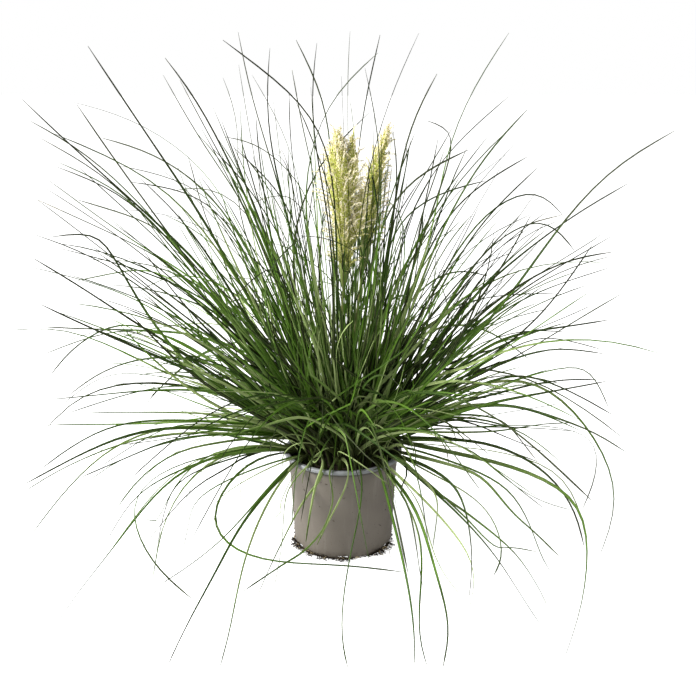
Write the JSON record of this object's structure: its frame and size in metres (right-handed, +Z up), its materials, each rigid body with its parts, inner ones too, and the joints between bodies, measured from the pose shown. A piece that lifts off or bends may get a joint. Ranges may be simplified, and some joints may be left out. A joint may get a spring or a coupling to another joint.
{
  "type": "potted ornamental grass",
  "caption": "Arching clump of narrow grass leaves with feathery upright plumes, growing in a round tapered plastic pot.",
  "frame": {"origin": "middle of the pot's flat base, on the ground", "axes": "+Z up along the pot's axis, -Y towards the front of the plant, +X to the viewer's right"},
  "size_m": [0.9799, 1.0808, 0.8013],
  "materials": {
    "pot_plastic": "semi-matte moulded taupe-grey plastic with faint water marks",
    "compost": "dark crumbly peat compost, matte",
    "roots": "matted dark brown roots, with a few pale ones",
    "leaf_green": "fresh green grass leaf with a paler midrib, slightly glossy",
    "plume_silk": "silky cream to yellow-green hairs, matte",
    "stem_green": "smooth yellow-green grass stem"
  },
  "bodies": {
    "root": {"pot": "pot_plastic", "soil": "compost", "root_fringe": "roots", "left_plume": "plume_silk", "left_plume_stem": "stem_green", "right_plume": "plume_silk", "right_plume_stem": "stem_green", "tiller_01": "leaf_green", "tiller_02": "leaf_green", "tiller_03": "leaf_green", "tiller_04": "leaf_green", "tiller_05": "leaf_green", "tiller_06": "leaf_green", "tiller_07": "leaf_green", "tiller_08": "leaf_green", "tiller_09": "leaf_green", "tiller_10": "leaf_green", "tiller_11": "leaf_green", "tiller_12": "leaf_green", "tiller_13": "leaf_green", "tiller_14": "leaf_green", "tiller_15": "leaf_green", "tiller_16": "leaf_green", "tiller_17": "leaf_green", "tiller_18": "leaf_green", "tiller_19": "leaf_green", "tiller_20": "leaf_green", "tiller_21": "leaf_green", "tiller_22": "leaf_green", "tiller_23": "leaf_green", "tiller_24": "leaf_green", "tiller_25": "leaf_green", "tiller_26": "leaf_green", "tiller_27": "leaf_green", "tiller_28": "leaf_green", "tiller_29": "leaf_green", "tiller_30": "leaf_green", "tiller_31": "leaf_green", "tiller_32": "leaf_green", "tiller_33": "leaf_green", "tiller_34": "leaf_green", "tiller_35": "leaf_green", "tiller_36": "leaf_green", "tiller_37": "leaf_green", "tiller_38": "leaf_green", "tiller_39": "leaf_green", "tiller_40": "leaf_green", "tiller_41": "leaf_green", "tiller_42": "leaf_green", "tiller_43": "leaf_green", "tiller_44": "leaf_green"}
  },
  "joints": []
}
